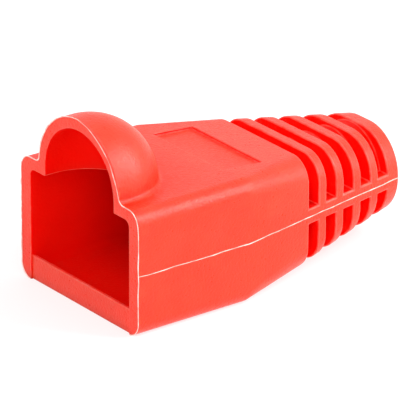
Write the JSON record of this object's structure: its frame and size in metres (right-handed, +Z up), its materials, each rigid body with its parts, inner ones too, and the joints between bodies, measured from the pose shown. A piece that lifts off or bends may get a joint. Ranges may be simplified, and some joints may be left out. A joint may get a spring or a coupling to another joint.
{
  "type": "rj45 strain relief boot",
  "caption": "Soft moulded boot for a modular plug: a hollow box with a half-round latch hood at the mouth and a ribbed, tapering tail round the cable bore.",
  "frame": {"origin": "centre of the bounding box, on the plane of the flat underside", "axes": "+Y runs from the plug mouth to the cable end, +Z is up through the latch hood, and X = 0 is the symmetry plane"},
  "size_m": [0.014, 0.0258, 0.0143],
  "materials": {
    "boot": "satin, fine moulded grain"
  },
  "bodies": {
    "root": {"boot": "boot"}
  },
  "joints": []
}
